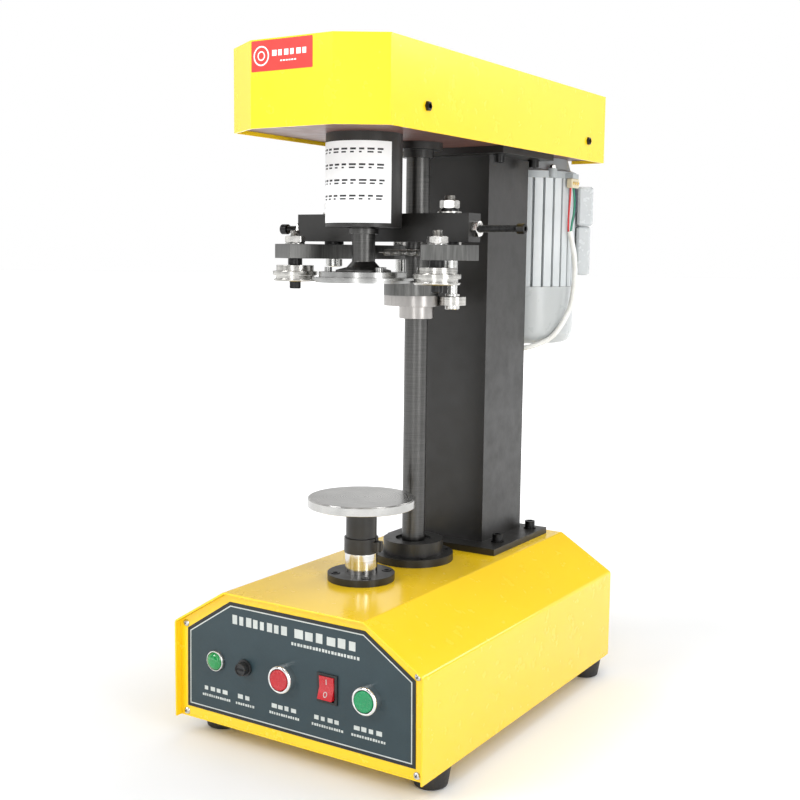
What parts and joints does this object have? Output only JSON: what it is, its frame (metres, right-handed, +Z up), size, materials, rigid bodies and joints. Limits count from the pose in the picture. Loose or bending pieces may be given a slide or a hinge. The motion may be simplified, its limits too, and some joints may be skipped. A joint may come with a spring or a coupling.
{
  "type": "can_seamer",
  "caption": "Bench-top electric can seamer: yellow base with push-buttons, lifting turntable, chuck and seaming rolls on cam-driven arms, belt-driven head on a column with the motor behind.",
  "frame": {"origin": "on the floor plane, under the centre of the rectangular base housing", "axes": "+X to the machine's right as the operator sees it, -Y towards the operator (control panel side), +Z up"},
  "size_m": [0.327, 0.5887, 0.7415],
  "materials": {
    "yellow_paint": "glossy",
    "black_satin": "satin",
    "head_plate_paint": "satin",
    "motor_grey": "satin",
    "cast_aluminium": "matte",
    "steel": "brushed",
    "dark_steel": "satin",
    "bright_steel": "polished",
    "black_oxide": "satin",
    "slate_fascia": "matte",
    "black_plastic": "satin",
    "white_plastic": "glossy",
    "cable_sheath": "satin",
    "red_plastic": "glossy",
    "green_plastic": "glossy",
    "black_rubber": "matte"
  },
  "bodies": {
    "machine": {"base_housing": "yellow_paint", "front_panel": "yellow_paint", "base_tray": "yellow_paint", "deck_plate": "dark_steel", "control_fascia": "slate_fascia", "case_screws": "bright_steel", "rubber_feet": "black_rubber", "pilot_light": "green_plastic", "fuse_holder": "black_plastic", "button_bezels": "bright_steel", "rocker_frame": "black_plastic", "cable_glands": "black_plastic", "control_unit": "white_plastic", "base_gearmotor": "motor_grey", "lift_spring": "bright_steel", "pedestal_flange": "black_satin", "flange_screws": "black_oxide", "column": "black_satin", "column_bolts": "black_oxide", "head_plate": "head_plate_paint", "head_cover": "yellow_paint", "spindle_housing": "black_satin", "spindle_bearings": "steel", "drive_belt": "black_rubber", "motor_frame": "cast_aluminium", "motor_end_shield": "motor_grey", "fan_cover": "motor_grey", "motor_electrics": "white_plastic", "motor_cable": "cable_sheath", "crossbar": "black_satin", "pivot_bolts": "bright_steel", "crossbar_screws": "black_oxide", "return_spring": "bright_steel", "cam_shaft_bearings": "black_satin"},
    "cam_drive": {"cam_shaft": "dark_steel", "lift_cam": "steel", "upper_cam": "dark_steel", "lower_cam": "steel"},
    "lever": {"lift_lever": "steel"},
    "pedestal": {"pedestal_ram": "bright_steel", "lock_ring": "black_satin", "pedestal_post": "black_satin"},
    "table": {"turntable": "steel"},
    "spindle": {"spindle": "dark_steel", "chuck": "steel", "spindle_pulley": "cast_aluminium"},
    "motor": {"motor_rotor": "steel", "motor_pulley": "cast_aluminium"},
    "left_arm": {"left_arm": "black_satin", "left_arm_studs": "bright_steel"},
    "right_arm": {"right_arm": "black_satin", "right_arm_studs": "bright_steel"},
    "left_roll": {"left_roll": "steel"},
    "right_roll": {"right_roll": "steel"},
    "left_follower": {"left_follower": "steel"},
    "right_follower": {"right_follower": "steel"},
    "jog_button": {"jog_button": "red_plastic"},
    "auto_button": {"auto_button": "green_plastic"},
    "rocker_key": {"rocker_key": "red_plastic"},
    "fuse_cap": {"fuse_cap": "black_plastic"}
  },
  "joints": [
    {"name": "cam_shaft_turn", "type": "hinge", "parent": "machine", "child": "cam_drive", "pos_m": [0, 0.0065, 0.3], "axis": [0, 0, -1], "range_deg": [0, 120]},
    {"name": "left_arm_swing", "type": "hinge", "parent": "machine", "child": "left_arm", "pos_m": [-0.076, -0.0515, 0.536], "axis": [0, 0, 1], "range_deg": [0, 15]},
    {"name": "right_arm_swing", "type": "hinge", "parent": "machine", "child": "right_arm", "pos_m": [0.076, -0.0515, 0.536], "axis": [0, 0, -1], "range_deg": [0, 15]},
    {"name": "lever_tilt", "type": "hinge", "parent": "machine", "child": "lever", "pos_m": [0.048, 0.08, 0.105], "axis": [-1, 0, 0], "range_deg": [0, 6.26]},
    {"name": "pedestal_lift", "type": "slide", "parent": "machine", "child": "pedestal", "axis": [0, 0, 1], "range_m": [0, 0.02], "deforming": ["lift_spring"]},
    {"name": "table_spin", "type": "hinge", "parent": "pedestal", "child": "table", "pos_m": [0, -0.1035, 0.263], "axis": [0, 0, 1], "continuous": true},
    {"name": "spindle_spin", "type": "hinge", "parent": "machine", "child": "spindle", "pos_m": [0, -0.1035, 0.6], "axis": [0, 0, 1], "continuous": true},
    {"name": "motor_spin", "type": "hinge", "parent": "machine", "child": "motor", "pos_m": [0, 0.2805, 0.56], "axis": [0, 0, 1], "continuous": true},
    {"name": "left_roll_spin", "type": "hinge", "parent": "left_arm", "child": "left_roll", "pos_m": [-0.0923, -0.1035, 0.512], "axis": [0, 0, 1], "continuous": true},
    {"name": "right_roll_spin", "type": "hinge", "parent": "right_arm", "child": "right_roll", "pos_m": [0.0923, -0.1035, 0.512], "axis": [0, 0, 1], "continuous": true},
    {"name": "left_follower_spin", "type": "hinge", "parent": "left_arm", "child": "left_follower", "pos_m": [-0.036, 0.0275, 0.4946], "axis": [0, 0, 1], "continuous": true},
    {"name": "right_follower_spin", "type": "hinge", "parent": "right_arm", "child": "right_follower", "pos_m": [0.036, 0.0275, 0.481], "axis": [0, 0, 1], "continuous": true},
    {"name": "jog_press", "type": "slide", "parent": "machine", "child": "jog_button", "axis": [0, 1, 0], "range_m": [0, 0.003], "stiffness_N_per_m": 500, "springref_m": -0.001},
    {"name": "auto_press", "type": "slide", "parent": "machine", "child": "auto_button", "axis": [0, 1, 0], "range_m": [0, 0.003], "stiffness_N_per_m": 500, "springref_m": -0.001},
    {"name": "rocker_tip", "type": "hinge", "parent": "machine", "child": "rocker_key", "pos_m": [0.0425, -0.2208, 0.095], "axis": [1, 0, 0], "range_deg": [0, 16]},
    {"name": "fuse_cap_twist", "type": "hinge", "parent": "machine", "child": "fuse_cap", "pos_m": [-0.066, -0.225, 0.095], "axis": [0, -1, 0], "range_deg": [0, 60]}
  ],
  "couplings": [
    {"joint": "left_arm_swing", "follows": "cam_shaft_turn", "ratio": 0.125},
    {"joint": "right_arm_swing", "follows": "cam_shaft_turn", "ratio": 0.125},
    {"joint": "lever_tilt", "follows": "cam_shaft_turn", "ratio": 0.05214},
    {"joint": "pedestal_lift", "follows": "cam_shaft_turn", "m_per_rad": 0.009549},
    {"joint": "motor_spin", "follows": "spindle_spin", "ratio": 1.8214}
  ]
}
